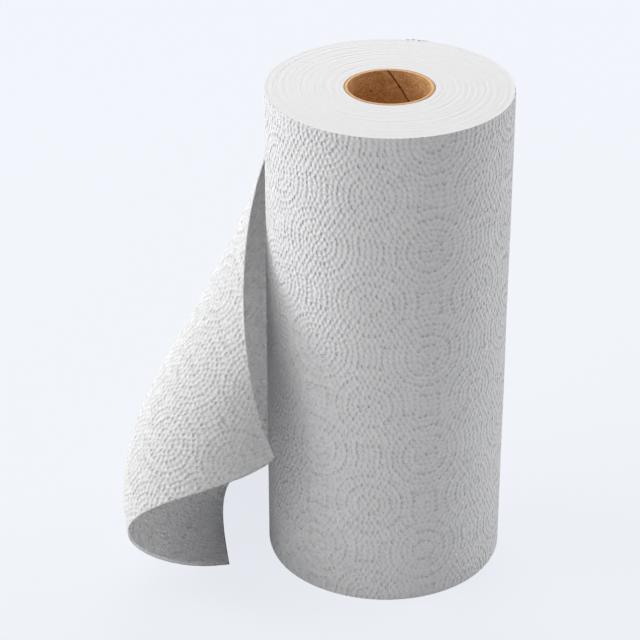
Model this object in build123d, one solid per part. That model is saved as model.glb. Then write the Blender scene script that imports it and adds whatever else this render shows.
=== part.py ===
from build123d import *
import os
from math import cos, radians, sin

# A paper towel roll standing on end: one long web of paper wound on a cardboard core, its last sheet
# hanging loose. Millimetres and degrees. The origin is on the roll's axis at its base, +Z runs up the
# axis, and the loose sheet hangs towards -X.

# Driving dimensions
WEB_WIDTH = 279.0
ROLL_DIAMETER = 132.0
WEB_THICKNESS = 0.8
CORE_DIAMETER = 48.0
CORE_WALL = 2.0
CORE_CLEARANCE = 0.05

# The turns that show as a spiral groove on each end of the roll
TURN_PITCH = 4.8
TURN_GROOVE_WIDTH = 0.9
TURN_GROOVE_DEPTH = 0.7

# Where the web leaves the roll, turned from the back (+Y) towards +X, its straight run there, the angle
# over which the roll still touches that run, and how far the sheet's bottom edge stays off the floor
LEAVING_ANGLE = 20.0
LEAVING_RUN = 8.0
LEAVING_CONTACT = 3.0
FLOOR_GAP = 0.2

# Control points of the loose sheet, each row from its bottom edge to its top edge.
# Leaving row: distance along the run's own line in roll radii, height in web widths.
SHEET_LEAVING = [(1.86, 0), (1.01, 0.31), (0.94, 0.455), (1.54, 0.715), (1.64, 0.955)]
# Belly and free edge: x and y in roll radii, height in web widths.
SHEET_BELLY = [
    (-1.52, 0.92, 0),
    (-2.97, 1.14, 0.14),
    (-2.75, 0.37, 0.445),
    (-2.03, -0.17, 0.58),
    (-1.37, -1.48, 0.65),
]
SHEET_FREE_EDGE = [
    (-1.32, -0.48, 0),
    (-2.23, -0.73, 0),
    (-2.73, -0.83, 0.23),
    (-1.49, -1.65, 0.295),
    (-0.90, -0.83, 0.305),
]

ROLL_RADIUS = ROLL_DIAMETER / 2
CORE_RADIUS = CORE_DIAMETER / 2
BORE_RADIUS = CORE_RADIUS + CORE_CLEARANCE
OUTWARD = Vector(sin(radians(LEAVING_ANGLE)), cos(radians(LEAVING_ANGLE)))
ALONG = Vector(-cos(radians(LEAVING_ANGLE)), sin(radians(LEAVING_ANGLE)))
UP = Vector(0, 0, 1)
RUN_END = OUTWARD * ROLL_RADIUS + ALONG * LEAVING_RUN


def half_turn(radius, pitch, side):
    """A half circle that runs clockwise from the leaving line and comes half a pitch nearer the axis."""
    inner = radius - pitch / 2
    centre = OUTWARD * (side * (radius - inner) / 2)
    middle = centre - ALONG * (side * (radius + inner) / 2)
    return ThreePointArc(OUTWARD * (side * radius), middle, OUTWARD * (-side * inner))


def last_half_turn():
    """The outermost turn's second half, which ends where it meets the run of the sheet above it."""
    radius = ROLL_RADIUS - WEB_THICKNESS * 3 / 4
    centre = OUTWARD * (-WEB_THICKNESS / 4)
    contact = radians(LEAVING_CONTACT)
    end = centre + OUTWARD * (radius * cos(contact)) + ALONG * (radius * sin(contact))
    return ThreePointArc(centre - OUTWARD * radius, centre + ALONG * radius, end)


def wound_web():
    """The wound turns, with the short straight run that the loose sheet hangs from."""
    first = half_turn(ROLL_RADIUS, WEB_THICKNESS, 1)
    second = last_half_turn()
    run = Polyline(second @ 1, RUN_END - OUTWARD * WEB_THICKNESS, RUN_END, first @ 0)
    outline = make_face([first, second, run])
    return extrude(outline - Circle(BORE_RADIUS), WEB_WIDTH)


def turn_groove():
    """The groove between the turns on the top end, a V that winds in from the outermost turn to the core."""
    outermost = ROLL_RADIUS - WEB_THICKNESS
    half_turns = int((outermost - BORE_RADIUS) / TURN_PITCH * 2) - 1
    arcs = []
    for count in range(1, half_turns):
        side = 1 if count % 2 == 0 else -1
        arcs.append(half_turn(outermost - count * TURN_PITCH / 2, TURN_PITCH, side))
    path = Wire(arcs).moved(Location(UP * WEB_WIDTH))
    across = Plane(path @ 0, x_dir=-OUTWARD, z_dir=path % 0)
    section = across * Polygon(
        (-TURN_GROOVE_WIDTH, TURN_GROOVE_DEPTH),
        (TURN_GROOVE_WIDTH, TURN_GROOVE_DEPTH),
        (0, -TURN_GROOVE_DEPTH),
        align=None,
    )
    return sweep(section, path=path)


def sheet_height(share):
    """A control point's height, from its share of the web's width."""
    return UP * (FLOOR_GAP + WEB_WIDTH * share)


def sheet_row(points):
    """One row of the loose sheet's control points at their real size."""
    return [Vector(x, y) * ROLL_RADIUS + sheet_height(z) for x, y, z in points]


def loose_sheet():
    """The last sheet: a patch that leaves the run straight, bellies out and ends in a free edge."""
    on_run = [RUN_END + UP * (WEB_WIDTH * quarter / 4) for quarter in range(5)]
    leaving = [RUN_END + ALONG * (ROLL_RADIUS * run) + sheet_height(z) for run, z in SHEET_LEAVING]
    net = [on_run, leaving, sheet_row(SHEET_BELLY), sheet_row(SHEET_FREE_EDGE)]
    return Solid.thicken(Face.make_bezier_surface(net), -WEB_THICKNESS)


def paper_roll():
    """The whole web as one solid."""
    web = wound_web() + loose_sheet()
    top = turn_groove()
    bottom = mirror(top, about=Plane.XY.offset(WEB_WIDTH / 2))
    return web - top - bottom


def core_tube():
    """The cardboard tube in the middle, as long as the web is wide."""
    ring = Circle(CORE_RADIUS) - Circle(CORE_RADIUS - CORE_WALL)
    return extrude(ring, WEB_WIDTH)


os.makedirs("parts", exist_ok=True)
export_step(paper_roll(), "parts/paper_roll.step")
export_step(core_tube(), "parts/core_tube.step")
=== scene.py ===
"""Dresses the paper towel roll: embossed paper, wound ends, cardboard core, light and camera."""
from math import comb, cos, pi, radians, sin

import bmesh
import bpy
import numpy as np
from mathutils import Matrix, Vector


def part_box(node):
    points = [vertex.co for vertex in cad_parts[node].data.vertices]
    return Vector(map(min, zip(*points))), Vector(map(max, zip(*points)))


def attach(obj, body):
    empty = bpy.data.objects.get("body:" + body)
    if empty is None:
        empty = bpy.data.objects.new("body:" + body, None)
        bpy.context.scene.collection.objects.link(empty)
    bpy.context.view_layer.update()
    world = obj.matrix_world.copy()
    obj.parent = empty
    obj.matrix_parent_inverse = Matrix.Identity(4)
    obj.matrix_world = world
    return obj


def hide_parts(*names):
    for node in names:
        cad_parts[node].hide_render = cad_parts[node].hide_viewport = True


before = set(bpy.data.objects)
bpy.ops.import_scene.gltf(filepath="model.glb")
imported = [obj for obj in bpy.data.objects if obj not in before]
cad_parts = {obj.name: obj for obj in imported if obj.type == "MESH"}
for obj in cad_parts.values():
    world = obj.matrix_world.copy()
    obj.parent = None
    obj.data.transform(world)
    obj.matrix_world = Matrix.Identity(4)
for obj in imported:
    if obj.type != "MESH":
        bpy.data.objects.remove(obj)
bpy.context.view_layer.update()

# The roll and its core, in metres, as the solids are. Places this close together are taken as one.
MM = 0.001
CLOSE = 0.01 * MM
WEB_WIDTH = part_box("paper_roll")[1].z
ROLL_RADIUS = 66 * MM
WEB_THICKNESS = 0.8 * MM
CORE_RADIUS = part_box("core_tube")[1].x
CORE_WALL = 2 * MM
INNER_RADIUS = CORE_RADIUS - CORE_WALL
CORE_CLEARANCE = 0.05 * MM
TURN_LENGTH = 2 * pi * ROLL_RADIUS

# The web leaves the roll here, turned from the back towards +X, and runs straight before it bellies out
LEAVING_ANGLE = radians(20)
LEAVING_RUN = 8 * MM
FLOOR_GAP = 0.2 * MM
OUTWARD = np.array([sin(LEAVING_ANGLE), cos(LEAVING_ANGLE), 0])
ALONG = np.array([-cos(LEAVING_ANGLE), sin(LEAVING_ANGLE), 0])
UP = np.array([0, 0, 1])

# Control points of the loose sheet, each row from its bottom edge to its top edge.
# Leaving row: distance along the run's own line in roll radii, height in web widths.
SHEET_LEAVING = [(1.86, 0), (1.01, 0.31), (0.94, 0.455), (1.54, 0.715), (1.64, 0.955)]
# Belly and free edge: x and y in roll radii, height in web widths.
SHEET_BELLY = [
    (-1.52, 0.92, 0),
    (-2.97, 1.14, 0.14),
    (-2.75, 0.37, 0.445),
    (-2.03, -0.17, 0.58),
    (-1.37, -1.48, 0.65),
]
SHEET_FREE_EDGE = [
    (-1.32, -0.48, 0),
    (-2.23, -0.73, 0),
    (-2.73, -0.83, 0.23),
    (-1.49, -1.65, 0.295),
    (-0.90, -0.83, 0.305),
]

# The web tears at perforation lines one sheet apart, of which the loose sheet's free edge is one
SHEET_LENGTH = 279 * MM
LOOSE_LENGTH = 246 * MM
SLIT_PITCH = 4 * MM
SLIT_HALF_WIDTH = 0.45 * MM
SLIT_DEPTH = 0.25 * MM

# The free edge's torn teeth: their depth and pitch, how uneven both are, each with its waves' pitches, and
# the last share of the sheet over which its faces draw back to them
TORN_TOOTH = 0.35 * MM
TORN_TOOTH_PITCH = 1.9 * MM
TORN_WOBBLE = 0.25
TORN_WOBBLE_PITCHES = (1.1 * MM, 0.7 * MM)
TORN_VARIATION = 0.4
TORN_VARIATION_PITCHES = (5 * MM, 9 * MM)
TORN_SHARE = 0.03

# The emboss: small dents on rings round staggered centres. Places are distances along the web from
# where it leaves the roll, and heights.
CENTRE_PITCH = 30.6 * MM
FIRST_CENTRE = (224.2 * MM, 215.4 * MM)
RING_PITCH = 3.05 * MM
DENT_PITCH = 3.1 * MM
DENT_HALF_WIDTH = 1.35 * MM
DENT_HALF_HEIGHT = 1.7 * MM
DENT_DEPTH = 0.35 * MM
DENT_SHARPNESS = 1.6
DENT_MARGIN = 0.1 * MM

# How far a dent strays from its ring, how much its depth varies, how much shallower every second ring is,
# and the factors that turn a dent's place and its centre's number into its own chance. From a centre to the
# one beyond it, half the sum and half the difference of the centre's factors are added.
DENT_STRAY = 0.22 * MM
DENT_VARIATION = 0.2
SHALLOWER = 0.38
PLACE_CHANCE = (2100, 1700)
STRAY_CHANCE = (3.1, 4.3)
CENTRE_CHANCE = (7, 4)
BEYOND_CHANCE = ((CENTRE_CHANCE[0] + CENTRE_CHANCE[1]) / 2, (CENTRE_CHANCE[0] - CENTRE_CHANCE[1]) / 2)

# How far the whole pattern sways, and its waves in radians per metre along the web and upwards
SWAY = 0.18 * MM
SWAY_ALONG = [(700, 410), (380, -820)]
SWAY_UPWARD = [(450, 760), (830, -360)]

# The wound web: how far its long edges are rounded over and over which width, how unevenly it lies in
# waves along it and upwards, and over which length from the leaving line that unevenness grows
EDGE_ROUNDING = 0.35 * MM
EDGE_REACH = 1.2 * MM
FLUTTER = 0.06 * MM
FLUTTER_PITCHES = (17 * MM, 23 * MM)
FLUTTER_START = 10 * MM

# How far in from its rims a face reaches its full form, and the loose sheet's mean width as a share of the
# web's
RIM_REACH = 1.5 * MM
SHEET_WIDTH_SHARE = 0.85

# The cut ends of the roll: how unevenly the turns lie, how sharp the line between two of them is, and over
# which last stretch and how far they reach out under the run that the loose sheet hangs from
TURN_RELIEF = 0.11 * MM
LINE_SHARPNESS = 3
UNDER_RUN = 4.2 * MM
RUN_REACH = 0.25 * MM

# The core's helical seam: where it meets the top end, turned from the back towards +X, its turn per metre
# on the way down, the groove that it leaves in the inner wall, the step where one ply laps the next, and
# the width of the faces beside it as a share of the mean
SEAM_START = radians(-1.6)
SEAM_TURN = radians(1830)
SEAM_HALF_WIDTH = 0.62 * MM
SEAM_DEPTH = 0.3 * MM
LAP_STEP = 0.16 * MM
LAP_FADE = 6 * MM
SEAM_COLUMNS = 0.35

# The core's cut rims: how far they are rounded, how unevenly they are cut, and how far down they show
RIM_ROUNDING = 0.3 * MM
RIM_UNEVENNESS = 0.09 * MM
RIM_HEIGHT = 0.35 * MM

# Dark knots in the core's board: turn from the back towards +X, depth below the top end, and size
KNOTS = [
    (radians(15.2), 9.4 * MM, 0.75 * MM),
    (radians(-41.7), 5.1 * MM, 0.5 * MM),
    (radians(-24.9), 11.1 * MM, 0.75 * MM),
]

# The photograph's camera, in the row frame
CAMERA_PLACE = (-32.5 * MM, -1160.2 * MM, 778.4 * MM)
CAMERA_TURN = (radians(61.191), 0, radians(0.183))
CAMERA_LENS = 135.926
SENSOR = 36

# The even background, the light from all round, and the floor: its radius, how far it lies below the
# object, the share of its own light that it shows near the object, and between which distances that fades
BACKGROUND = (0.885, 0.915, 0.97)
AMBIENT = 0.345
FLOOR_RADIUS = 6
FLOOR_DROP = 0.1 * MM
FLOOR_SHARE = 0.15
FLOOR_FADE = (0.2, 0.9)

# The lamps: name, turn round the object from the camera's side towards -X and height, both in degrees,
# size in metres and power in watts
LAMPS = [
    ("left_light", 108, 18, (0.6, 0.8), 13.5),
    ("high_left_light", 80, 62, (0.7, 0.7), 6.5),
    ("low_left_light", 68, 8, (0.6, 0.9), 4),
    ("right_back_light", -118, 20, (0.8, 1.2), 10.5),
    ("back_light", 180, 45, (0.9, 0.9), 9.5),
]
LAMP_DISTANCE = 1.8


def swayed(travel, height):
    """The emboss's places, drawn a little out of true, as in soft paper."""
    aside = sum(np.sin(travel * along + height * up) for along, up in SWAY_ALONG)
    upward = sum(np.sin(travel * along + height * up) for along, up in SWAY_UPWARD)
    return travel + SWAY * aside, height + SWAY * upward


def ring_dents(across, up, seed):
    """How deep the dents round one centre are at a place seen from it, 0 to 1."""
    ring = np.round(np.hypot(across, up) / RING_PITCH)
    count = np.maximum(1, np.round(ring * (2 * pi * RING_PITCH / DENT_PITCH)))
    turns = np.arctan2(up, across) / (2 * pi)
    deepest = np.zeros_like(across)
    for nearest in (np.floor(turns * count), np.ceil(turns * count)):
        turn = nearest / count * (2 * pi)
        dent_across, dent_up = ring * RING_PITCH * np.cos(turn), ring * RING_PITCH * np.sin(turn)
        inside = np.abs(dent_across) + np.abs(dent_up) < CENTRE_PITCH - DENT_MARGIN
        chance = seed + dent_across * PLACE_CHANCE[0] + dent_up * PLACE_CHANCE[1]
        unevenness = 1 - DENT_VARIATION + DENT_VARIATION * np.sin(chance)
        dent_across = dent_across + DENT_STRAY * np.sin(STRAY_CHANCE[0] * chance)
        dent_up = dent_up + DENT_STRAY * np.sin(STRAY_CHANCE[1] * chance)
        beside = (across - dent_across) / DENT_HALF_WIDTH
        above = (up - dent_up) / DENT_HALF_HEIGHT
        bowl = np.clip(1 - beside**2 - above**2, 0, 1) ** DENT_SHARPNESS
        deepest = np.maximum(deepest, inside * unevenness * bowl)
    return deepest * (1 - SHALLOWER * (ring % 2))


def dents(travel, height):
    """How deep the emboss is at each place on the web, 0 to 1, by the nearest centre and the one beyond."""
    travel, height = swayed(travel, height)
    across = (travel - FIRST_CENTRE[0]) / CENTRE_PITCH
    up = (height - FIRST_CENTRE[1]) / CENTRE_PITCH
    rising, falling = np.round((across + up) / 2), np.round((across - up) / 2)
    across, up = across - rising - falling, up - rising + falling
    seed = CENTRE_CHANCE[0] * rising + CENTRE_CHANCE[1] * falling
    own = ring_dents(across * CENTRE_PITCH, up * CENTRE_PITCH, seed)
    right = np.where(across > 0, 1, -1)
    above = np.where(up > 0, 1, -1)
    seed = seed + BEYOND_CHANCE[0] * right + BEYOND_CHANCE[1] * above
    return np.maximum(own, ring_dents((across - right) * CENTRE_PITCH, (up - above) * CENTRE_PITCH, seed))


def perforation(travel, height):
    """The lines of short slits between the sheets, 0 to 1."""
    first = SHEET_LENGTH - LOOSE_LENGTH
    away = ((travel - first + SHEET_LENGTH / 2) % SHEET_LENGTH - SHEET_LENGTH / 2) / SLIT_HALF_WIDTH
    slit = 0.5 + 0.5 * np.tanh(4 * np.sin(2 * pi * height / SLIT_PITCH) + 2)
    return np.exp(-(away**2)) * slit


def bernstein(degree, share):
    """The weight of each control point along a Bezier curve, one row for each share."""
    weights = [comb(degree, k) * share**k * (1 - share) ** (degree - k) for k in range(degree + 1)]
    return np.stack(weights, axis=-1)


def patch(net, out, up):
    """Points of a Bezier patch at shares out, from the roll, and up, from the bottom edge."""
    rows, columns = net.shape[0] - 1, net.shape[1] - 1
    return np.einsum("ni,nj,ijk->nk", bernstein(rows, out), bernstein(columns, up), net)


def sheet_height(share):
    """A control point's height, from its share of the web's width."""
    return UP * (FLOOR_GAP + WEB_WIDTH * share)


def sheet_net():
    """The loose sheet's control points, the same patch as in the solid."""
    run_end = OUTWARD * ROLL_RADIUS + ALONG * LEAVING_RUN
    on_run = [run_end + UP * (WEB_WIDTH * quarter / 4) for quarter in range(5)]
    leaving = [run_end + ALONG * (ROLL_RADIUS * run) + sheet_height(z) for run, z in SHEET_LEAVING]
    belly = [np.array([x, y, 0]) * ROLL_RADIUS + sheet_height(z) for x, y, z in SHEET_BELLY]
    free_edge = [np.array([x, y, 0]) * ROLL_RADIUS + sheet_height(z) for x, y, z in SHEET_FREE_EDGE]
    return np.array([on_run, leaving, belly, free_edge])


def patch_slopes(net, out, up):
    """How a patch's point moves with each of its two shares."""
    step = 1e-4
    along = (patch(net, out + step, up) - patch(net, out - step, up)) / (2 * step)
    rise = (patch(net, out, up + step) - patch(net, out, up - step)) / (2 * step)
    return along, rise


def flat_net(net):
    """The loose sheet laid flat: a patch in the web's own plane whose lengths and corners match best."""
    shares = np.linspace(0, 1, 15)
    out, up = (grid.ravel() for grid in np.meshgrid(shares, shares))
    first_length = 0.9
    rounds = 40
    nudge = 1e-6
    damping = 1e-3

    def lengths(points):
        along, rise = patch_slopes(points, out, up)
        return np.concatenate([(a * b).sum(-1) for a, b in ((along, along), (along, rise), (rise, rise))])

    wanted = lengths(net)
    weight = 1 / WEB_WIDTH**2
    rows, columns = net.shape[:2]
    run, height = np.meshgrid(-np.linspace(0, 1, rows), np.linspace(0, 1, columns), indexing="ij")
    flat = np.stack([run * first_length - LEAVING_RUN / WEB_WIDTH, height], axis=-1) * WEB_WIDTH
    free = flat[1:].size
    for _ in range(rounds):
        miss = (lengths(flat) - wanted) * weight
        slope = np.empty((miss.size, free))
        for k in range(free):
            nudged = flat.copy()
            nudged[1:].reshape(-1)[k] += nudge
            slope[:, k] = ((lengths(nudged) - wanted) * weight - miss) / nudge
        change = np.linalg.solve(slope.T @ slope + damping * np.eye(free), slope.T @ miss)
        flat[1:] -= change.reshape(flat[1:].shape)
    return flat


def even_shares(net, count, outwards):
    """Shares that step evenly over the patch, out from the roll or up from the bottom edge."""
    fine = np.linspace(0, 1, 201)
    lengths = np.zeros(len(fine) - 1)
    for other in np.linspace(0, 1, 9):
        still = np.full_like(fine, other)
        points = patch(net, fine, still) if outwards else patch(net, still, fine)
        lengths += np.linalg.norm(np.diff(points, axis=0), axis=1)
    travelled = np.concatenate([[0], np.cumsum(lengths)])
    return np.interp(np.linspace(0, 1, count + 1), travelled / travelled[-1], fine)


def slow_waves(a, b, seed, waves=7):
    """A smooth uneven surface over two coordinates, about -1 to 1."""
    chance = np.random.default_rng(seed)
    total = np.zeros_like(a)
    for _ in range(waves):
        pitch_a, pitch_b = chance.uniform(0.5, 2.2, 2)
        total += np.sin(a * pitch_a + b * pitch_b * chance.choice([-1, 1]) + chance.uniform(0, 2 * pi))
    return total / waves**0.5


def ring_waves(turn, radius, seed, waves=9):
    """A smooth uneven surface over a disc, stretched along its turns and about -1 to 1."""
    chance = np.random.default_rng(seed)
    total = np.zeros_like(turn)
    for _ in range(waves):
        pitch = chance.uniform(1.6, 6) * MM
        total += np.sin(turn * chance.integers(-7, 8) + 2 * pi * radius / pitch + chance.uniform(0, 2 * pi))
    return total / waves**0.5


def joined_grid(mesh, folded_at):
    """Joins a grid's meeting borders, and leaves out every second column past the one where it folds."""
    joiner = bmesh.new()
    joiner.from_mesh(mesh)
    bmesh.ops.remove_doubles(joiner, verts=joiner.verts, dist=CLOSE)
    if folded_at:
        column = joiner.verts.layers.float["column"]

        def left_out(edge):
            first, second = (round(corner[column]) for corner in edge.verts)
            return first == second and first % 2 == 1 and first > folded_at

        extra = [edge for edge in joiner.edges if left_out(edge)]
        bmesh.ops.dissolve_edges(joiner, edges=extra, use_verts=True, use_face_split=False)
    joiner.to_mesh(mesh)
    joiner.free()


def surface_normals(mesh, columns, rows, place, closed, folded):
    """The normals of a piece's own surface right up to its border, so that the next piece follows on.

    The first and last rows of a folded piece close it, so they have the normals of the rims that they are.
    """
    column, row = np.empty(len(mesh.vertices)), np.empty(len(mesh.vertices))
    mesh.attributes["column"].data.foreach_get("value", column)
    mesh.attributes["row"].data.foreach_get("value", row)
    joined = closed & (column > columns - 0.5)
    across, up = np.where(joined, 0, column / columns), row / rows
    step_across, step_up = 0.5 / columns, 0.5 / rows
    along = place(across + step_across, up) - place(across - step_across, up)
    rise = place(across, up + step_up) - place(across, up - step_up)
    normals = np.cross(along, rise)
    normals /= np.linalg.norm(normals, axis=1, keepdims=True)
    if folded:
        own = np.empty(len(mesh.vertices) * 3)
        mesh.vertices.foreach_get("normal", own)
        rim = (np.abs(row / rows - 0.5) > 0.5 - 0.25 / rows) & (column > 0.5)
        normals[rim] = own.reshape(-1, 3)[rim]
    return normals


def grid_piece(name, columns, rows, place, web_place, marks, closed=False, folded_at=0):
    """A piece of columns by rows faces whose corners lie where place(across, up) says, both 0 to 1.

    Its UV map has each corner's place on the flat web, and each mark is a number that its corners carry.
    A closed piece's borders meet, and a folded one turns back over itself at the column given.
    """
    mesh = bpy.data.meshes.new(name)
    shaper = bmesh.new()
    bmesh.ops.create_grid(shaper, x_segments=columns, y_segments=rows, size=0.5)
    shaper.to_mesh(mesh)
    shaper.free()
    corners = np.empty(len(mesh.vertices) * 3)
    mesh.vertices.foreach_get("co", corners)
    across = np.clip(corners[0::3] + 0.5, 0, 1)
    up = np.clip(corners[1::3] + 0.5, 0, 1)
    mesh.vertices.foreach_set("co", place(across, up).ravel())
    owner = np.empty(len(mesh.loops), dtype=np.int32)
    mesh.loops.foreach_get("vertex_index", owner)
    flat = np.stack(web_place(across, up), axis=-1)[owner]
    mesh.uv_layers.new(name="web").data.foreach_set("uv", flat.ravel())
    marks = {label: values(across, up) for label, values in marks.items()}
    marks["column"], marks["row"] = across * columns, up * rows
    for label, values in marks.items():
        mesh.attributes.new(label, "FLOAT", "POINT").data.foreach_set("value", values.astype(np.float32))
    mesh.shade_smooth()
    if closed:
        joined_grid(mesh, folded_at)
    normals = surface_normals(mesh, columns, rows, place, closed, folded_at > 0)
    mesh.normals_split_custom_set_from_vertices(normals.tolist())
    for label in ("column", "row"):
        mesh.attributes.remove(mesh.attributes[label])
    piece = bpy.data.objects.new(name, mesh)
    bpy.context.scene.collection.objects.link(piece)
    return piece


def web_on_roll(travel, height, depth):
    """Where a place on the wound web's outer face lies, sunk by depth."""
    turn = LEAVING_ANGLE + travel / ROLL_RADIUS
    radius = ROLL_RADIUS - WEB_THICKNESS * travel / TURN_LENGTH - depth
    return np.stack([radius * np.sin(turn), radius * np.cos(turn), height], axis=-1)


def web_depth(travel, height):
    """How far the wound web's face lies below its plain turn."""
    edge = np.minimum(height, WEB_WIDTH - height)
    rounding = EDGE_ROUNDING * np.clip(1 - edge / EDGE_REACH, 0, 1) ** 2
    flutter = FLUTTER * (1 + slow_waves(travel / FLUTTER_PITCHES[0], height / FLUTTER_PITCHES[1], seed=3))
    flutter = flutter * np.clip(travel / FLUTTER_START, 0, 1)
    pressed = DENT_DEPTH * dents(travel, height) + SLIT_DEPTH * perforation(travel, height)
    return pressed + rounding + flutter


def web_face(name, start, end, columns, rows, paper):
    """The wound web's face over one stretch of its outermost turn."""

    def web_place(across, up):
        return end + (start - end) * across, WEB_WIDTH * up

    def place(across, up):
        travel, height = web_place(across, up)
        return web_on_roll(travel, height, web_depth(travel, height))

    def outer_side(across, up):
        return np.ones_like(across)

    piece = grid_piece(name, columns, rows, place, web_place, {"side": outer_side})
    piece.data.materials.append(paper)
    return piece


NET = sheet_net()
FLAT_NET = flat_net(NET)


def torn_edge(height):
    """How far the torn perforation is cut back at each height along the free edge."""
    wobble = slow_waves(height / TORN_WOBBLE_PITCHES[0], height / TORN_WOBBLE_PITCHES[1], seed=11)
    teeth = np.abs(((height / TORN_TOOTH_PITCH + TORN_WOBBLE * wobble) % 1) * 2 - 1)
    uneven = slow_waves(height / TORN_VARIATION_PITCHES[0], height / TORN_VARIATION_PITCHES[1], seed=12)
    return TORN_TOOTH * teeth * (1 - TORN_VARIATION + TORN_VARIATION * np.abs(uneven))


def loose_sheet(name, columns, rows, paper):
    """The loose sheet: out along its outer face to the torn edge, and back along its plainer inner face."""
    run_columns = round(columns * LEAVING_RUN / LOOSE_LENGTH)
    run = np.linspace(-1, 0, run_columns + 1)[:-1]
    out_there = np.concatenate([run, even_shares(NET, columns - run_columns, outwards=True)])
    outs = np.concatenate([out_there, out_there[-2::-1]])
    rises = even_shares(NET, rows, outwards=False)

    def shares(across, up):
        out = np.interp(across * 2 * columns, np.arange(2 * columns + 1), outs)
        return out, np.interp(up * rows, np.arange(rows + 1), rises)

    def web_place(across, up):
        out, rise = shares(across, up)
        flat = patch(FLAT_NET, np.maximum(out, 0), rise)
        return flat[:, 0] - LEAVING_RUN * np.minimum(out, 0), flat[:, 1]

    def in_from_rim(out, rise):
        sides = np.minimum(rise, 1 - rise) * WEB_WIDTH * SHEET_WIDTH_SHARE
        return np.clip(np.minimum(sides, (1 - out) * LOOSE_LENGTH) / RIM_REACH, 0, 1)

    def place(across, up):
        out, rise = shares(across, up)
        drawn_back = np.clip((out - 1 + TORN_SHARE) / TORN_SHARE, 0, 1)
        on_patch = np.maximum(out, 0) - drawn_back * torn_edge(WEB_WIDTH * rise) / LOOSE_LENGTH
        points = patch(NET, on_patch, rise) + np.minimum(out, 0)[:, None] * ALONG * LEAVING_RUN
        outward = np.cross(*patch_slopes(NET, on_patch, rise))
        outward /= np.linalg.norm(outward, axis=1, keepdims=True)
        from_rim = in_from_rim(out, rise)
        sunk = DENT_DEPTH * dents(*web_place(across, up)) * from_rim
        from_start = np.clip((1 + out) * LEAVING_RUN / RIM_REACH, 0, 1)
        sunk += WEB_THICKNESS * np.minimum(from_rim, from_start) ** 0.5 * (across > 0.5)
        return points - outward * sunk[:, None]

    def side(across, up):
        return np.clip((0.5 - across) * 2 * columns, -1, 1)

    marks = {"side": side}
    piece = grid_piece(name, 2 * columns, rows, place, web_place, marks, closed=True, folded_at=columns)
    piece.data.materials.append(paper)
    return piece


def end_of_turns(name, top, columns, rows, paper):
    """One cut end of the roll, where the edges of all its turns show as fine broken lines."""
    level = WEB_WIDTH if top else 0

    def web_place(across, up):
        travel = TURN_LENGTH * (1 - across if top else across)
        outermost = ROLL_RADIUS - WEB_THICKNESS * travel / TURN_LENGTH
        rim = outermost - web_depth(travel, np.full_like(travel, level))
        under_run = np.clip((travel - TURN_LENGTH + UNDER_RUN) / (UNDER_RUN / 2), 0, 1)
        rim = rim + (WEB_THICKNESS + RUN_REACH) * under_run
        radius = rim + (CORE_RADIUS + CORE_CLEARANCE - rim) * (1 - up)
        return travel, radius

    def turns_in(across, up):
        travel, radius = web_place(across, up)
        return (ROLL_RADIUS - radius) / WEB_THICKNESS - travel / TURN_LENGTH

    def place(across, up):
        travel, radius = web_place(across, up)
        turn = travel / ROLL_RADIUS
        away = ROLL_RADIUS - WEB_THICKNESS * travel / TURN_LENGTH - radius
        line = (0.5 + 0.5 * np.cos(2 * pi * turns_in(across, up))) ** LINE_SHARPNESS
        strength = np.clip(0.5 + 0.7 * ring_waves(turn, radius, seed=21), 0, 1.4)
        uneven = 0.8 + 0.5 * ring_waves(turn, radius, seed=22)
        from_rim = np.clip((away - EDGE_ROUNDING) / RIM_REACH, 0, 1)
        sunk = TURN_RELIEF * (line * strength + uneven) * from_rim
        height = level - sunk if top else level + sunk
        angle = LEAVING_ANGLE + turn
        return np.stack([radius * np.sin(angle), radius * np.cos(angle), height], axis=-1)

    piece = grid_piece(name, columns, rows, place, web_place, {"turns": turns_in})
    piece.data.materials.append(paper)
    return piece


def core_outline():
    """The core's wall cut through: radius and height, from the foot of its outer face round and back."""
    soft, top = RIM_ROUNDING, WEB_WIDTH
    corner = [(soft * (1 - cos(a)), top - soft * (1 - sin(a))) for a in (0.5, 1.1)]
    points = [(CORE_RADIUS, z) for z in np.linspace(soft, top - soft, 61)]
    points += [(CORE_RADIUS - inwards, z) for inwards, z in corner]
    points += [(r, top) for r in np.linspace(CORE_RADIUS - soft, INNER_RADIUS + soft, 7)]
    points += [(INNER_RADIUS + outwards, z) for outwards, z in corner[::-1]]
    points += [(INNER_RADIUS, z) for z in np.linspace(top - soft, soft, 121)]
    points += [(INNER_RADIUS + soft, 0), (CORE_RADIUS - soft, 0), points[0]]
    return np.array(points)


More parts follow.
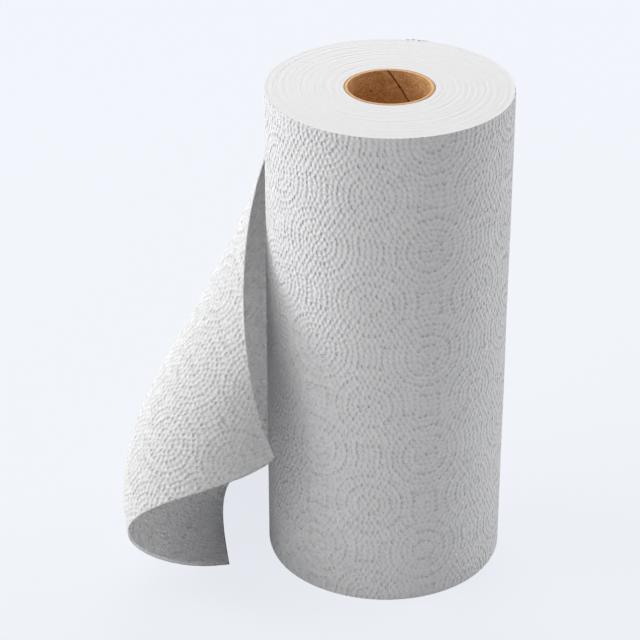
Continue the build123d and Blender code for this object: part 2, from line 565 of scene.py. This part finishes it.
def core_wall(name, columns, board, cut_board):
    """The cardboard core: its cut rims, and the helical seam of its inner wall."""
    outline = core_outline()
    rows = len(outline) - 1
    near = np.linspace(-1, 1, columns + 1)
    around = 0.5 * near * (SEAM_COLUMNS + (1 - SEAM_COLUMNS) * near**2)

    def spot(across, up):
        share = np.interp(across * columns, np.arange(columns + 1), around)
        radius = np.interp(up * rows, np.arange(rows + 1), outline[:, 0])
        height = np.interp(up * rows, np.arange(rows + 1), outline[:, 1])
        return share, radius, height

    def board_place(across, up):
        share, radius, height = spot(across, up)
        return 2 * pi * CORE_RADIUS * share, height + radius

    def on_inner_wall(radius):
        return radius < INNER_RADIUS + RIM_ROUNDING + 0.1 * MM

    def seam_share(across, up):
        share, radius, height = spot(across, up)
        away = share * 2 * pi * CORE_RADIUS / SEAM_HALF_WIDTH
        return np.exp(-(away**2)) * on_inner_wall(radius)

    def place(across, up):
        share, radius, height = spot(across, up)
        away = share * 2 * pi * CORE_RADIUS
        lap = LAP_STEP * np.exp(-np.clip(away, 0, None) / LAP_FADE) * (away > 0) * on_inner_wall(radius)
        on_top = (height > WEB_WIDTH - CLOSE) & (np.abs(share) < 0.499)
        cut = RIM_UNEVENNESS * np.abs(slow_waves(share * 41, radius / (0.5 * MM), seed=31)) * on_top
        radius = radius + SEAM_DEPTH * seam_share(across, up) - lap
        angle = SEAM_START + SEAM_TURN * (WEB_WIDTH - height) + 2 * pi * share
        height = height - cut
        return np.stack([radius * np.sin(angle), radius * np.cos(angle), height], axis=-1)

    piece = grid_piece(name, columns, rows, place, board_place, {"seam": seam_share}, closed=True)
    piece.data.materials.append(board)
    piece.data.materials.append(cut_board)
    for face in piece.data.polygons:
        from_end = min(face.center.z, WEB_WIDTH - face.center.z)
        face.material_index = 1 if from_end < RIM_HEIGHT else 0
    return piece


def material(name):
    """A new material, with its node tree and its shader."""
    made = bpy.data.materials.new(name)
    made.use_nodes = True
    return made, made.node_tree, made.node_tree.nodes["Principled BSDF"]


def matt(shader, roughness, gloss):
    """Gives a shader its matt finish."""
    shader.inputs["Roughness"].default_value = roughness
    shader.inputs["Specular IOR Level"].default_value = gloss


def feed(tree, socket, value):
    """Gives a socket its value, which is a number, a colour or another socket."""
    if isinstance(value, bpy.types.NodeSocket):
        tree.links.new(value, socket)
    else:
        socket.default_value = value


def object_place(tree):
    """A place on the object, in metres."""
    return tree.nodes.new("ShaderNodeTexCoord").outputs["Object"]


def web_place_of(tree):
    """A place on the flat web or the flat board, in metres, from the piece's own UV map."""
    web = tree.nodes.new("ShaderNodeUVMap")
    web.uv_map = "web"
    return web.outputs["UV"]


def mark(tree, label):
    """A number that a piece's corners carry."""
    carried = tree.nodes.new("ShaderNodeAttribute")
    carried.attribute_name = label
    return carried.outputs["Fac"]


def parts_of(tree, vector):
    """A vector's three numbers."""
    apart = tree.nodes.new("ShaderNodeSeparateXYZ")
    tree.links.new(vector, apart.inputs[0])
    return apart.outputs


def distance_to(tree, place, centre):
    """How far a place is from a centre."""
    away = tree.nodes.new("ShaderNodeVectorMath")
    away.operation = "DISTANCE"
    away.inputs[1].default_value = centre
    tree.links.new(place, away.inputs[0])
    return away.outputs["Value"]


def fade(tree, value, start, end, first=0, last=1, kind="LINEAR"):
    """A number that goes from first to last while the value goes from start to end."""
    span = tree.nodes.new("ShaderNodeMapRange")
    span.interpolation_type = kind
    for socket, number in (("From Min", start), ("From Max", end), ("To Min", first), ("To Max", last)):
        span.inputs[socket].default_value = number
    tree.links.new(value, span.inputs["Value"])
    return span.outputs["Result"]


def noise(tree, source, scale, detail, label, stretch=None):
    """A noise of so many marks per metre, stretched along an axis where asked."""
    texture = tree.nodes.new("ShaderNodeTexNoise")
    texture.label = label
    texture.inputs["Scale"].default_value = scale
    texture.inputs["Detail"].default_value = detail
    if stretch is not None:
        mapping = tree.nodes.new("ShaderNodeMapping")
        mapping.inputs["Scale"].default_value = stretch
        tree.links.new(source, mapping.inputs["Vector"])
        source = mapping.outputs["Vector"]
    tree.links.new(source, texture.inputs["Vector"])
    return texture.outputs["Fac"]


def tone(tree, value, *stops):
    """Colours along a value, each stop a place and its colour."""
    ramp = tree.nodes.new("ShaderNodeValToRGB")
    while len(ramp.color_ramp.elements) < len(stops):
        ramp.color_ramp.elements.new(0.5)
    for element, (place, colour) in zip(ramp.color_ramp.elements, stops):
        element.position = place
        element.color = (*colour, 1)
    tree.links.new(value, ramp.inputs["Fac"])
    return ramp.outputs["Color"]


def blend_colour(tree, kind, share, first, second):
    """Two colours mixed by a share."""
    mix = tree.nodes.new("ShaderNodeMix")
    mix.data_type = "RGBA"
    mix.blend_type = kind
    for name, value in (("Factor", share), ("A", first), ("B", second)):
        feed(tree, [socket for socket in mix.inputs if socket.name == name and socket.enabled][0], value)
    return [socket for socket in mix.outputs if socket.enabled][0]


def bump(tree, height, strength, distance, under=None):
    """A relief of the given height in metres over the surface, or over another relief."""
    relief = tree.nodes.new("ShaderNodeBump")
    relief.inputs["Strength"].default_value = strength
    relief.inputs["Distance"].default_value = distance
    tree.links.new(height, relief.inputs["Height"])
    if under is not None:
        tree.links.new(under, relief.inputs["Normal"])
    return relief.outputs["Normal"]


def sum_maker(tree):
    """A maker of Math nodes: each takes numbers or sockets and gives its result's socket."""

    def work_out(kind, *values):
        node = tree.nodes.new("ShaderNodeMath")
        node.operation = kind
        for socket, value in zip(node.inputs, values):
            feed(tree, socket, value)
        return node.outputs[0]

    return work_out


def ring_dent_nodes(work, across, up, seed):
    """The nodes for the dents round one centre, as ring_dents() works them out, from a place in pitches."""
    across, up = work("MULTIPLY", across, CENTRE_PITCH), work("MULTIPLY", up, CENTRE_PITCH)
    reach = work("SQRT", work("ADD", work("MULTIPLY", across, across), work("MULTIPLY", up, up)))
    ring = work("ROUND", work("DIVIDE", reach, RING_PITCH))
    count = work("MAXIMUM", work("ROUND", work("MULTIPLY", ring, 2 * pi * RING_PITCH / DENT_PITCH)), 1)
    turns = work("MULTIPLY", work("DIVIDE", work("ARCTAN2", up, across), 2 * pi), count)
    radius = work("MULTIPLY", ring, RING_PITCH)
    bowls = []
    for nearest in ("FLOOR", "CEIL"):
        turn = work("MULTIPLY", work("DIVIDE", work(nearest, turns), count), 2 * pi)
        dent_across = work("MULTIPLY", radius, work("COSINE", turn))
        dent_up = work("MULTIPLY", radius, work("SINE", turn))
        spread = work("ADD", work("ABSOLUTE", dent_across), work("ABSOLUTE", dent_up))
        inside = work("LESS_THAN", spread, CENTRE_PITCH - DENT_MARGIN)
        across_chance = work("MULTIPLY", dent_across, PLACE_CHANCE[0])
        up_chance = work("MULTIPLY", dent_up, PLACE_CHANCE[1])
        chance = work("ADD", seed, work("ADD", across_chance, up_chance))
        unevenness = work("MULTIPLY_ADD", work("SINE", chance), DENT_VARIATION, 1 - DENT_VARIATION)
        stray_across = work("SINE", work("MULTIPLY", chance, STRAY_CHANCE[0]))
        stray_up = work("SINE", work("MULTIPLY", chance, STRAY_CHANCE[1]))
        dent_across = work("MULTIPLY_ADD", stray_across, DENT_STRAY, dent_across)
        dent_up = work("MULTIPLY_ADD", stray_up, DENT_STRAY, dent_up)
        beside = work("DIVIDE", work("SUBTRACT", across, dent_across), DENT_HALF_WIDTH)
        above = work("DIVIDE", work("SUBTRACT", up, dent_up), DENT_HALF_HEIGHT)
        away = work("ADD", work("MULTIPLY", beside, beside), work("MULTIPLY", above, above))
        bowl = work("POWER", work("MAXIMUM", work("SUBTRACT", 1, away), 0), DENT_SHARPNESS)
        bowls.append(work("MULTIPLY", work("MULTIPLY", bowl, unevenness), inside))
    second = work("MODULO", ring, 2)
    return work("MULTIPLY", work("MAXIMUM", *bowls), work("MULTIPLY_ADD", second, -SHALLOWER, 1))


def emboss_group():
    """The emboss as nodes, the same dents as in the mesh: from a place on the web to a depth, 0 to 1."""
    group = bpy.data.node_groups.new("embossed_dents", "ShaderNodeTree")
    group.interface.new_socket("Web place", in_out="INPUT", socket_type="NodeSocketVector")
    group.interface.new_socket("Depth", in_out="OUTPUT", socket_type="NodeSocketFloat")
    work = sum_maker(group)
    web = parts_of(group, group.nodes.new("NodeGroupInput").outputs[0])
    travel, height = web[0], web[1]

    def wave(along, upward):
        return work("SINE", work("ADD", work("MULTIPLY", travel, along), work("MULTIPLY", height, upward)))

    aside = work("ADD", *[wave(*pitches) for pitches in SWAY_ALONG])
    upward = work("ADD", *[wave(*pitches) for pitches in SWAY_UPWARD])
    travel, height = work("MULTIPLY_ADD", aside, SWAY, travel), work("MULTIPLY_ADD", upward, SWAY, height)
    across = work("DIVIDE", work("SUBTRACT", travel, FIRST_CENTRE[0]), CENTRE_PITCH)
    up = work("DIVIDE", work("SUBTRACT", height, FIRST_CENTRE[1]), CENTRE_PITCH)
    rising = work("ROUND", work("MULTIPLY", work("ADD", across, up), 0.5))
    falling = work("ROUND", work("MULTIPLY", work("SUBTRACT", across, up), 0.5))
    across = work("SUBTRACT", work("SUBTRACT", across, rising), falling)
    up = work("ADD", work("SUBTRACT", up, rising), falling)
    rising_chance = work("MULTIPLY", rising, CENTRE_CHANCE[0])
    seed = work("ADD", rising_chance, work("MULTIPLY", falling, CENTRE_CHANCE[1]))
    right = work("MULTIPLY_ADD", work("GREATER_THAN", across, 0), 2, -1)
    above = work("MULTIPLY_ADD", work("GREATER_THAN", up, 0), 2, -1)
    right_chance = work("MULTIPLY", right, BEYOND_CHANCE[0])
    above_chance = work("MULTIPLY", above, BEYOND_CHANCE[1])
    next_seed = work("ADD", seed, work("ADD", right_chance, above_chance))
    next_across, next_up = work("SUBTRACT", across, right), work("SUBTRACT", up, above)
    own = ring_dent_nodes(work, across, up, seed)
    depth = work("MAXIMUM", own, ring_dent_nodes(work, next_across, next_up, next_seed))
    group.links.new(depth, group.nodes.new("NodeGroupOutput").inputs[0])
    return group


def towel_paper(name, emboss, crispness, see_through=0):
    """Soft white embossed tissue: crisp dents, crepe between them, felted fibres, faint cloudy patches.

    Where it is see-through, that starts once the web has left the roll.
    """
    made, tree, shader = material(name)
    place, web = object_place(tree), web_place_of(tree)
    dent = tree.nodes.new("ShaderNodeGroup")
    dent.node_tree = emboss
    tree.links.new(web, dent.inputs[0])
    cloud = noise(tree, place, 90, 3, "cloudy patches")
    crepe = noise(tree, place, 760, 3, "crepe between the dents")
    fibre = noise(tree, place, 1900, 5, "fibres")
    white = tone(tree, cloud, (0.3, (0.835, 0.836, 0.845)), (0.7, (0.875, 0.875, 0.882)))
    speck = tone(tree, fibre, (0.3, (0.93, 0.93, 0.93)), (0.65, (1, 1, 1)))
    feed(tree, shader.inputs["Base Color"], blend_colour(tree, "MULTIPLY", 0.6, white, speck))
    work = sum_maker(tree)
    pressed = bump(tree, work("MULTIPLY", dent.outputs[0], mark(tree, "side")), 1, crispness)
    pressed.node.invert = True
    soft = bump(tree, crepe, 1, 0.5 * MM, pressed)
    feed(tree, shader.inputs["Normal"], bump(tree, fibre, 0.6, 0.08 * MM, soft))
    matt(shader, 0.95, 0.2)
    if see_through:
        left_roll = fade(tree, parts_of(tree, web)["X"], 0, -14 * MM, 0, see_through, "SMOOTHSTEP")
        feed(tree, shader.inputs["Subsurface Weight"], left_roll)
        shader.inputs["Subsurface Radius"].default_value = (1, 1, 1)
        shader.inputs["Subsurface Scale"].default_value = 2.2 * MM
    return made


def end_paper():
    """The cut edges of the turns: the same white, with painted shade as a fine dark line between turns
    where they part, and loose fibres.
    """
    made, tree, shader = material("turn_ends")
    place = object_place(tree)
    between = sum_maker(tree)("PINGPONG", mark(tree, "turns"), 0.5)
    patchy = noise(tree, place, 210, 3, "where turns part")
    # Painted shade: the colour darkens to a fine line between turns, only where the patchy noise has the
    # turns part
    line = tone(tree, between, (0, (0, 0, 0)), (0.2, (1, 1, 1)))
    shade = tone(tree, patchy, (0.5, (1, 1, 1)), (0.72, (0.9, 0.9, 0.905)))
    painted_gap_shade = blend_colour(tree, "MIX", line, shade, (1, 1, 1, 1))
    fibre = noise(tree, place, 1300, 5, "cut fibres")
    white = tone(tree, fibre, (0.3, (0.845, 0.846, 0.855)), (0.7, (0.89, 0.89, 0.897)))
    feed(tree, shader.inputs["Base Color"], blend_colour(tree, "MULTIPLY", 1, white, painted_gap_shade))
    lines = bump(tree, between, 0.5, 0.15 * MM)
    feed(tree, shader.inputs["Normal"], bump(tree, fibre, 0.6, 0.1 * MM, lines))
    matt(shader, 0.95, 0.2)
    return made


def kraft_board():
    """Unbleached board: granular brown with long fibres along the winding, dark knots and a dark seam."""
    made, tree, shader = material("kraft_board")
    place = object_place(tree)
    cloud = noise(tree, place, 150, 4, "mottling")
    grain = noise(tree, place, 950, 3, "grains")
    fibre = noise(tree, web_place_of(tree), 260, 6, "fibres along the winding", (6, 1, 1))
    brown = tone(tree, cloud, (0.3, (0.63, 0.35, 0.145)), (0.7, (0.82, 0.485, 0.222)))
    grains = tone(tree, grain, (0.35, (0.66, 0.6, 0.55)), (0.5, (1, 1, 1)), (0.68, (1.3, 1.3, 1.35)))
    brown = blend_colour(tree, "MULTIPLY", 0.75, brown, grains)
    streaks = tone(tree, fibre, (0.3, (0.86, 0.84, 0.82)), (0.7, (1.08, 1.08, 1.08)))
    brown = blend_colour(tree, "MULTIPLY", 0.8, brown, streaks)
    for turn, depth, size in KNOTS:
        knot = (INNER_RADIUS * sin(turn), INNER_RADIUS * cos(turn), WEB_WIDTH - depth)
        near = fade(tree, distance_to(tree, place, knot), size, size * 0.4)
        brown = blend_colour(tree, "MIX", near, brown, (0.1, 0.035, 0.012, 1))
    brown = blend_colour(tree, "MIX", mark(tree, "seam"), brown, (0.07, 0.022, 0.008, 1))
    feed(tree, shader.inputs["Base Color"], brown)
    rough = bump(tree, grain, 0.6, 0.12 * MM)
    feed(tree, shader.inputs["Normal"], bump(tree, fibre, 0.5, 0.1 * MM, rough))
    matt(shader, 0.85, 0.3)
    return made


def cut_board():
    """The core's cut rim: lighter and more orange inside, browner outside, with the plies as fine rings."""
    made, tree, shader = material("cut_board")
    winding = web_place_of(tree)
    fibre = noise(tree, object_place(tree), 1100, 5, "cut fibres")
    ply = noise(tree, winding, 1500, 2, "plies", (0.02, 1, 1))
    outwards = fade(tree, parts_of(tree, winding)["Y"], WEB_WIDTH + INNER_RADIUS, WEB_WIDTH + CORE_RADIUS)
    tan = tone(tree, outwards, (0.45, (0.9, 0.56, 0.3)), (0.9, (0.5, 0.28, 0.14)))
    speckle = tone(tree, fibre, (0.3, (0.8, 0.77, 0.74)), (0.7, (1.1, 1.1, 1.1)))
    rings = tone(tree, ply, (0.35, (0.8, 0.78, 0.76)), (0.6, (1.05, 1.05, 1.05)))
    tan = blend_colour(tree, "MULTIPLY", 1, tan, speckle)
    feed(tree, shader.inputs["Base Color"], blend_colour(tree, "MULTIPLY", 0.7, tan, rings))
    feed(tree, shader.inputs["Normal"], bump(tree, fibre, 0.7, 0.12 * MM))
    matt(shader, 0.9, 0.25)
    return made


def plain_backdrop(tree, even, keep):
    """A mix that shows the camera and gloss an even shader, with a share kept of how the surface is lit."""
    work = sum_maker(tree)
    rays = tree.nodes.new("ShaderNodeLightPath")
    seen = work("MAXIMUM", rays.outputs["Is Camera Ray"], rays.outputs["Is Glossy Ray"])
    even.inputs["Color"].default_value = (*BACKGROUND, 1)
    mix = tree.nodes.new("ShaderNodeMixShader")
    tree.links.new(work("MULTIPLY", seen, work("SUBTRACT", 1, keep)), mix.inputs[0])
    tree.links.new(even.outputs[0], mix.inputs[2])
    return mix


def studio_floor():
    """A pale floor that fades into the background and keeps a soft shadow of the object."""
    shaper = bmesh.new()
    bmesh.ops.create_circle(shaper, cap_ends=True, segments=96, radius=FLOOR_RADIUS)
    bmesh.ops.translate(shaper, verts=shaper.verts, vec=(0, 0, -FLOOR_DROP))
    mesh = bpy.data.meshes.new("studio_floor")
    shaper.to_mesh(mesh)
    shaper.free()
    floor = bpy.data.objects.new("studio_floor", mesh)
    bpy.context.scene.collection.objects.link(floor)
    made, tree, shader = material("studio_floor")
    shader.inputs["Base Color"].default_value = (0.8, 0.8, 0.81, 1)
    shader.inputs["Roughness"].default_value = 0.9
    away = distance_to(tree, object_place(tree), (0, 0, 0))
    keep = fade(tree, away, *FLOOR_FADE, FLOOR_SHARE, 0, "SMOOTHSTEP")
    mix = plain_backdrop(tree, tree.nodes.new("ShaderNodeEmission"), keep)
    tree.links.new(shader.outputs[0], mix.inputs[1])
    tree.links.new(mix.outputs[0], tree.nodes["Material Output"].inputs["Surface"])
    mesh.materials.append(made)


def studio_world():
    """Even soft light from all round, with the plain background where the camera looks past the floor."""
    world = bpy.data.worlds.new("studio")
    bpy.context.scene.world = world
    world.use_nodes = True
    tree = world.node_tree
    ambient = tree.nodes["Background"]
    ambient.inputs["Color"].default_value = (1, 1, 1, 1)
    ambient.inputs["Strength"].default_value = AMBIENT
    mix = plain_backdrop(tree, tree.nodes.new("ShaderNodeBackground"), 0)
    tree.links.new(ambient.outputs[0], mix.inputs[1])
    tree.links.new(mix.outputs[0], tree.nodes["World Output"].inputs["Surface"])


def soft_lamp(name, turn, height, size, power):
    """A large square lamp that faces the object, turned round it and raised by so many degrees."""
    lamp = bpy.data.lights.new(name, "AREA")
    lamp.shape = "RECTANGLE"
    lamp.size, lamp.size_y = size
    lamp.energy = power
    holder = bpy.data.objects.new(name, lamp)
    bpy.context.scene.collection.objects.link(holder)
    turn, height = radians(turn), radians(height)
    aim = Vector((0, 0, WEB_WIDTH / 2))
    away = Vector((-sin(turn) * cos(height), -cos(turn) * cos(height), sin(height)))
    facing = away.to_track_quat("Z", "Y").to_matrix().to_4x4()
    holder.matrix_world = Matrix.Translation(aim + away * LAMP_DISTANCE) @ facing


def photo_camera():
    """The photograph's camera."""
    lens = bpy.data.cameras.new("camera")
    lens.lens = CAMERA_LENS
    lens.sensor_width = SENSOR
    lens.clip_start = 0.05
    camera = bpy.data.objects.new("camera", lens)
    camera.location = CAMERA_PLACE
    camera.rotation_euler = CAMERA_TURN
    bpy.context.scene.collection.objects.link(camera)
    bpy.context.scene.camera = camera


photo_camera()
emboss = emboss_group()
paper = towel_paper("towel_paper", emboss, 0.85 * MM)
loose_paper = towel_paper("loose_towel_paper", emboss, 1.35 * MM, see_through=0.9)
ends = end_paper()
board, rim_board = kraft_board(), cut_board()

third = TURN_LENGTH / 3
faces = [web_face(f"roll_face_{k + 1}", third * k, third * (k + 1), 198, 399, paper) for k in range(3)]
top_end = end_of_turns("top_end", top=True, columns=240, rows=150, paper=ends)
bottom_end = end_of_turns("bottom_end", top=False, columns=200, rows=60, paper=ends)
loose = loose_sheet("loose_sheet", columns=230, rows=280, paper=loose_paper)
core = core_wall("core_board", columns=150, board=board, cut_board=rim_board)

for piece in [*faces, top_end, bottom_end, loose]:
    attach(piece, "root")
    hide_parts("paper_roll")
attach(core, "root")
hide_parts("core_tube")

studio_floor()
studio_world()
for lamp in LAMPS:
    soft_lamp(*lamp)

bpy.context.scene.view_settings.view_transform = "Standard"
